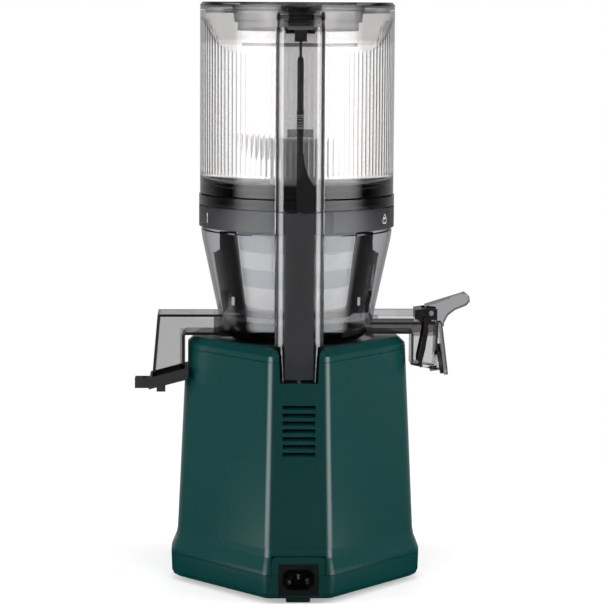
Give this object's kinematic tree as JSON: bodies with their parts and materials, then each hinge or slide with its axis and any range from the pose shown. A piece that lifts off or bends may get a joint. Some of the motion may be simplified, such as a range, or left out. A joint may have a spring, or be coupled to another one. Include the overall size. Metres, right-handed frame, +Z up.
{
  "type": "cold press juicer",
  "caption": "Upright cold press juicer: green motor base, clear drum with strainer and auger, juice and pulp outlets, and a tall clear hopper with a hinged lid.",
  "frame": {"origin": "drive axis at the level of the feet", "axes": "+Z up along the drive axis, front with the knob at -Y, back with the inlet at +Y, pulp outlet at +X, juice outlet at -X"},
  "size_m": [0.2697, 0.2097, 0.465],
  "materials": {
    "green_shell": "satin, dark green",
    "black_plastic": "fine texture, black",
    "black_gloss": "gloss, black",
    "black_silicone": "soft, matt black",
    "smoky_clear": "clear, smoky grey",
    "clear": "clear, faint grey",
    "dark_ring": "gloss, dark grey",
    "strainer_plastic": "satin, pale blue-grey",
    "mesh_steel": "etched screen",
    "steel": "ground",
    "chrome": "polished",
    "zinc": "die-cast",
    "laminations": "stacked sheet",
    "copper": "enamelled wire",
    "gear_plastic": "moulded, natural",
    "board": "lacquered board",
    "components": "moulded",
    "pale_plastic": "satin, pale"
  },
  "bodies": {
    "base": {"base_housing": "green_shell", "top_cover": "green_shell", "bottom_cover": "green_shell", "rubber_feet": "black_silicone", "cover_screws": "steel", "power_inlet": "black_gloss", "inlet_pins": "chrome", "drive_deck": "black_gloss", "shaft_seal": "black_silicone", "motor_end_bell": "zinc", "motor_can": "steel", "motor_bearings": "steel", "stator_core": "laminations", "stator_windings": "copper", "output_bearings": "steel", "gear_case": "zinc", "gear_cover": "zinc", "gear_case_screws": "steel", "damper_grommets": "black_silicone", "knob_bezel": "black_gloss", "rotary_switch": "components", "control_board": "board", "board_components": "components", "interlock_switch": "components"},
    "rotor": {"rotor_core": "laminations", "motor_shaft": "steel", "cooling_fan": "black_plastic"},
    "cluster": {"cluster_gear": "gear_plastic"},
    "output": {"output_gear": "gear_plastic", "output_shaft": "steel"},
    "knob": {"control_knob": "black_gloss"},
    "plunger": {"switch_plunger": "black_plastic"},
    "drum_group": {"drum": "smoky_clear", "locking_ring": "dark_ring", "drum_seal": "black_silicone", "pulp_packing": "black_silicone", "cap_hinge_block": "black_gloss", "cap_hinge_pin": "steel", "spout_seal": "black_silicone", "cap_leaf": "black_gloss", "strainer_frame": "strainer_plastic", "strainer_mesh": "mesh_steel", "lower_column": "smoky_clear", "rod_guide": "black_gloss"},
    "cap": {"juice_cap": "dark_ring"},
    "wiper": {"wiper_frame": "black_plastic", "wiper_blades": "black_silicone"},
    "screw": {"auger": "black_plastic", "auger_wing": "pale_plastic"},
    "rod_low": {"lower_rod": "black_plastic"},
    "hopper": {"hopper_bowl": "clear", "hopper_seal": "black_silicone", "hopper_collar": "dark_ring", "upper_column": "smoky_clear", "lid_hinge_pin": "steel", "hoop_band": "dark_ring", "rod_bushing": "black_plastic", "rod_spring": "steel"},
    "rod_high": {"interlock_rod": "black_plastic"},
    "lid_group": {"lid": "smoky_clear"}
  },
  "joints": [
    {"name": "rotor_spin", "type": "hinge", "parent": "base", "child": "rotor", "pos_m": [0, 0, 0.08], "axis": [0, 0, 1], "continuous": true},
    {"name": "cluster_spin", "type": "hinge", "parent": "base", "child": "cluster", "pos_m": [0, -0.0375, 0.13], "axis": [0, 0, 1], "continuous": true},
    {"name": "output_spin", "type": "hinge", "parent": "base", "child": "output", "pos_m": [0, 0, 0.14], "axis": [0, 0, 1], "continuous": true},
    {"name": "knob_turn", "type": "hinge", "parent": "base", "child": "knob", "pos_m": [0, -0.094, 0.096], "axis": [0, -1, 0], "range_deg": [-45, 45]},
    {"name": "plunger_slide", "type": "slide", "parent": "base", "child": "plunger", "axis": [0, 0, 1], "range_m": [0, 0.0031]},
    {"name": "drum_lift", "type": "slide", "parent": "base", "child": "drum_group", "axis": [0, 0, 1], "range_m": [0, 0.07]},
    {"name": "cap_hinge", "type": "hinge", "parent": "drum_group", "child": "cap", "pos_m": [-0.1084, 0, 0.2172], "axis": [0, 1, 0], "range_deg": [0, 75]},
    {"name": "wiper_spin", "type": "hinge", "parent": "drum_group", "child": "wiper", "pos_m": [0, 0, 0.22], "axis": [0, 0, 1], "continuous": true},
    {"name": "screw_spin", "type": "hinge", "parent": "drum_group", "child": "screw", "pos_m": [0, 0, 0.22], "axis": [0, 0, 1], "continuous": true},
    {"name": "rod_low_slide", "type": "slide", "parent": "drum_group", "child": "rod_low", "axis": [0, 0, 1], "range_m": [0, 0.0031]},
    {"name": "hopper_lift", "type": "slide", "parent": "drum_group", "child": "hopper", "axis": [0, 0, 1], "range_m": [0, 0.06]},
    {"name": "rod_high_slide", "type": "slide", "parent": "hopper", "child": "rod_high", "axis": [0, 0, 1], "range_m": [0, 0.0031], "deforming": ["rod_spring"]},
    {"name": "lid_hinge", "type": "hinge", "parent": "hopper", "child": "lid_group", "pos_m": [0, 0.0835, 0.4535], "axis": [-1, 0, 0], "range_deg": [0, 100]}
  ],
  "couplings": [
    {"joint": "cluster_spin", "follows": "rotor_spin", "ratio": -0.25},
    {"joint": "output_spin", "follows": "rotor_spin", "ratio": 0.0625},
    {"joint": "screw_spin", "follows": "rotor_spin", "ratio": 0.0625},
    {"joint": "wiper_spin", "follows": "rotor_spin", "ratio": -0.020833},
    {"joint": "rod_high_slide", "follows": "lid_hinge", "m_per_rad": 0.0017189},
    {"joint": "rod_low_slide", "follows": "lid_hinge", "m_per_rad": 0.0017189},
    {"joint": "plunger_slide", "follows": "lid_hinge", "m_per_rad": 0.0017189}
  ]
}
